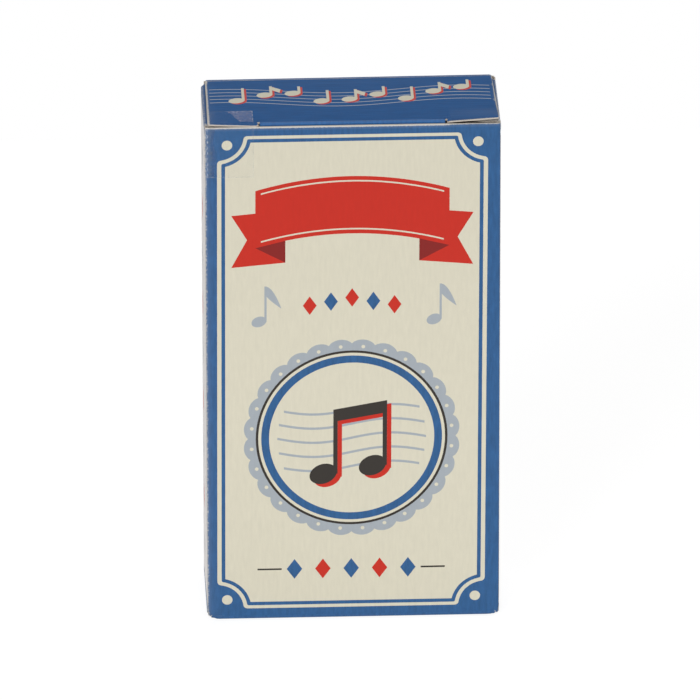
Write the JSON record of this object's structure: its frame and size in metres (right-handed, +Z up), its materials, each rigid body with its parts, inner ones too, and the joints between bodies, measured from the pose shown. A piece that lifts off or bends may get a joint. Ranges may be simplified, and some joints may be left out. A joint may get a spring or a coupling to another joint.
{
  "type": "boxed jaw harp",
  "caption": "Jaw harp of bevelled iron bar with a plucked steel reed, standing in its upright printed folding carton with a slit-lock tuck flap at each end and a scrap of clear tape on the lid.",
  "frame": {"origin": "middle of the carton's base, where it stands", "axes": "+Z up the carton, +X to the right as the printed front is seen, +Y from the front panel to the back panel"},
  "size_m": [0.064, 0.0251, 0.1181],
  "materials": {
    "printed_board": "coated folding boxboard, printed blue border on a cream field",
    "side_board": "coated folding boxboard, cream",
    "lid_board": "coated folding boxboard, printed blue",
    "bare_board": "uncoated grey-cream board",
    "clear_tape": "clear adhesive tape",
    "frame_iron": "tumbled and plated iron",
    "reed_steel": "rolled spring steel"
  },
  "bodies": {
    "sleeve": {"front_panel": "printed_board", "back_panel": "printed_board", "left_panel": "side_board", "right_panel": "side_board", "glue_flap": "bare_board", "tape_on_front": "clear_tape"},
    "lid": {"lid_panel": "lid_board", "tape_on_lid": "clear_tape"},
    "lid_tuck": {"lid_tuck_flap": "lid_board"},
    "top_left_dust": {"top_left_dust_flap": "bare_board"},
    "top_right_dust": {"top_right_dust_flap": "bare_board"},
    "bottom": {"bottom_panel": "lid_board"},
    "bottom_tuck": {"bottom_tuck_flap": "lid_board"},
    "bottom_left_dust": {"bottom_left_dust_flap": "bare_board"},
    "bottom_right_dust": {"bottom_right_dust_flap": "bare_board"},
    "harp": {"harp_frame": "frame_iron", "reed_tang": "reed_steel"},
    "heel": {"reed_heel": "reed_steel"},
    "blade": {"reed_blade": "reed_steel"},
    "trigger": {"reed_trigger": "reed_steel"}
  },
  "joints": [
    {"name": "lid_crease", "type": "hinge", "parent": "sleeve", "child": "lid", "pos_m": [0, 0.0125, 0.118], "axis": [-1, 0, 0], "range_deg": [0, 150]},
    {"name": "lid_tuck_crease", "type": "hinge", "parent": "lid", "child": "lid_tuck", "pos_m": [0, -0.0117, 0.118], "axis": [1, 0, 0], "range_deg": [0, 23]},
    {"name": "top_left_dust_crease", "type": "hinge", "parent": "sleeve", "child": "top_left_dust", "pos_m": [-0.032, 0, 0.1174], "axis": [0, -1, 0], "range_deg": [0, 68]},
    {"name": "top_right_dust_crease", "type": "hinge", "parent": "sleeve", "child": "top_right_dust", "pos_m": [0.032, 0, 0.1174], "axis": [0, 1, 0], "range_deg": [0, 68]},
    {"name": "bottom_crease", "type": "hinge", "parent": "sleeve", "child": "bottom", "pos_m": [0, -0.0125, 0], "axis": [-1, 0, 0], "range_deg": [0, 150]},
    {"name": "bottom_tuck_crease", "type": "hinge", "parent": "bottom", "child": "bottom_tuck", "pos_m": [0, 0.0117, 0], "axis": [1, 0, 0], "range_deg": [0, 23]},
    {"name": "bottom_left_dust_crease", "type": "hinge", "parent": "sleeve", "child": "bottom_left_dust", "pos_m": [-0.032, 0, 0.0006], "axis": [0, 1, 0], "range_deg": [0, 68]},
    {"name": "bottom_right_dust_crease", "type": "hinge", "parent": "sleeve", "child": "bottom_right_dust", "pos_m": [0.032, 0, 0.0006], "axis": [0, -1, 0], "range_deg": [0, 68]},
    {"name": "harp_play", "type": "slide", "parent": "sleeve", "child": "harp", "axis": [0, 0, 1], "range_m": [0, 0.018]},
    {"name": "reed_root_bend", "type": "hinge", "parent": "harp", "child": "heel", "pos_m": [0, 0.00701, 0.0084], "axis": [1, 0, 0], "range_deg": [-1, 2], "stiffness_Nm_per_rad": 0.3},
    {"name": "reed_middle_bend", "type": "hinge", "parent": "heel", "child": "blade", "pos_m": [0, 0.00701, 0.0284], "axis": [1, 0, 0], "range_deg": [-0.7, 1.4], "stiffness_Nm_per_rad": 0.3},
    {"name": "reed_tip_bend", "type": "hinge", "parent": "blade", "child": "trigger", "pos_m": [0, 0.00701, 0.0534], "axis": [1, 0, 0], "range_deg": [-0.4, 0.8], "stiffness_Nm_per_rad": 0.3}
  ],
  "couplings": [
    {"joint": "lid_tuck_crease", "follows": "lid_crease", "ratio": 0.15},
    {"joint": "top_left_dust_crease", "follows": "lid_crease", "ratio": 0.45},
    {"joint": "top_right_dust_crease", "follows": "lid_crease", "ratio": 0.45},
    {"joint": "bottom_tuck_crease", "follows": "bottom_crease", "ratio": 0.15},
    {"joint": "bottom_left_dust_crease", "follows": "bottom_crease", "ratio": 0.45},
    {"joint": "bottom_right_dust_crease", "follows": "bottom_crease", "ratio": 0.45},
    {"joint": "reed_middle_bend", "follows": "reed_root_bend", "ratio": 0.7},
    {"joint": "reed_tip_bend", "follows": "reed_root_bend", "ratio": 0.4}
  ]
}
